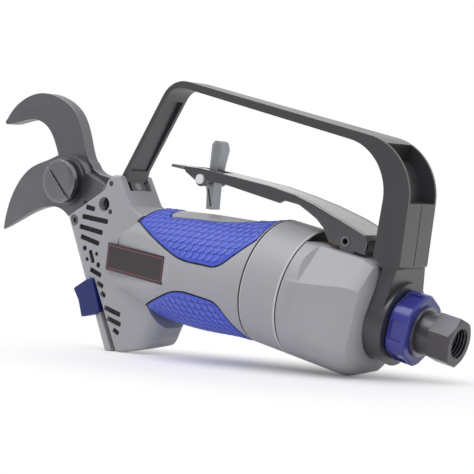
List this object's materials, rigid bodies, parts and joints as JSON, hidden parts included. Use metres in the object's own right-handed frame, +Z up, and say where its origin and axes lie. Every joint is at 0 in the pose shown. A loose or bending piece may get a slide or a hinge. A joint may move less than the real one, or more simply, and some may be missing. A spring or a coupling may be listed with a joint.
{
  "type": "pneumatic pruning shears",
  "caption": "Hand-held pneumatic pruning shears with a hooked counter blade, a swinging cutting blade, a padded grip with a lever trigger, a hand guard and an air inlet.",
  "frame": {"origin": "middle of the tool's box, on the table that the tool rests on with its foot and its rear cap", "axes": "+X from the blades towards the air inlet, along the table; +Z up; -Y is the side with the pivot bolt's head and the vents. The cylinder's axis is tilted 13.3 degrees, nose up."},
  "size_m": [0.2756, 0.058, 0.1313],
  "materials": {
    "housing": "light grey satin coating on a casting",
    "pad": "blue moulded rubber with raised scales",
    "seal": "black sealing rubber",
    "blade": "dark hardened steel, ground edge",
    "fastener": "dark steel",
    "bright_steel": "polished steel",
    "drive_steel": "machined steel",
    "aluminium": "turned aluminium",
    "bronze": "turned bearing bronze",
    "guard": "black moulded nylon",
    "lever": "folded sheet steel, dark glossy finish",
    "latch": "bare pressed steel",
    "stop": "blue moulded plastic",
    "collar": "deep blue anodised finish",
    "inlet": "dark gunmetal",
    "spring": "spring wire"
  },
  "bodies": {
    "frame": {"body_housing": "housing", "grip_pad_top": "pad", "grip_pad_bottom": "pad", "vent_sheet": "seal", "front_gasket": "seal", "middle_ring": "housing", "rear_gasket": "seal", "rear_cap": "housing", "cylinder_liner": "aluminium", "rod_bush": "bronze", "rod_seal": "seal", "return_spring": "spring", "hook_blade": "blade", "hook_screws": "fastener", "pivot_bolt": "fastener", "pivot_washer": "fastener", "pivot_nut": "fastener", "nose_screw": "fastener", "stop_pad": "stop", "lever_pin": "fastener", "valve_bush": "bronze", "valve_spring": "spring", "hand_guard": "guard", "guard_screw": "fastener", "inlet_fitting": "inlet", "collar_clip": "fastener"},
    "blade": {"cutting_blade": "blade", "tail_pin": "drive_steel", "tail_roller": "drive_steel"},
    "piston_set": {"piston": "aluminium", "piston_seal": "seal", "rod_nut": "drive_steel", "piston_rod": "bright_steel", "yoke": "drive_steel"},
    "lever": {"trigger_lever": "lever", "latch_pin": "bright_steel", "latch_spring": "spring"},
    "latch": {"safety_latch": "latch"},
    "valve": {"valve_plunger": "bronze", "valve_ring": "seal"},
    "collar": {"exhaust_collar": "collar"}
  },
  "joints": [
    {"name": "blade_swing", "type": "hinge", "parent": "frame", "child": "blade", "pos_m": [-0.08513, 0, 0.08412], "axis": [0, 1, 0], "range_deg": [0, 57.11]},
    {"name": "rod_slide", "type": "slide", "parent": "frame", "child": "piston_set", "axis": [-0.9732, 0, 0.23], "range_m": [0, 0.0149], "stiffness_N_per_m": 500, "springref_m": -0.01, "deforming": ["return_spring"]},
    {"name": "trigger_press", "type": "hinge", "parent": "frame", "child": "lever", "pos_m": [0.08743, 0, 0.05771], "axis": [0, -1, 0], "range_deg": [0, 6], "stiffness_Nm_per_rad": 0.8, "springref_deg": -6.88},
    {"name": "latch_flip", "type": "hinge", "parent": "lever", "child": "latch", "pos_m": [0.00495, 0, 0.08482], "axis": [0, -1, 0], "range_deg": [0, 54.11]},
    {"name": "valve_slide", "type": "slide", "parent": "frame", "child": "valve", "axis": [-0.23, 0, -0.9732], "range_m": [0, 0.00121], "deforming": ["valve_spring"]},
    {"name": "collar_turn", "type": "hinge", "parent": "frame", "child": "collar", "pos_m": [0.11409, 0, 0.02161], "axis": [0.9732, 0, -0.23], "continuous": true}
  ],
  "couplings": [
    {"joint": "blade_swing", "follows": "rod_slide", "rad_per_m": 66.768},
    {"joint": "latch_flip", "follows": "trigger_press", "ratio": 9},
    {"joint": "valve_slide", "follows": "trigger_press", "m_per_rad": 0.0115}
  ]
}
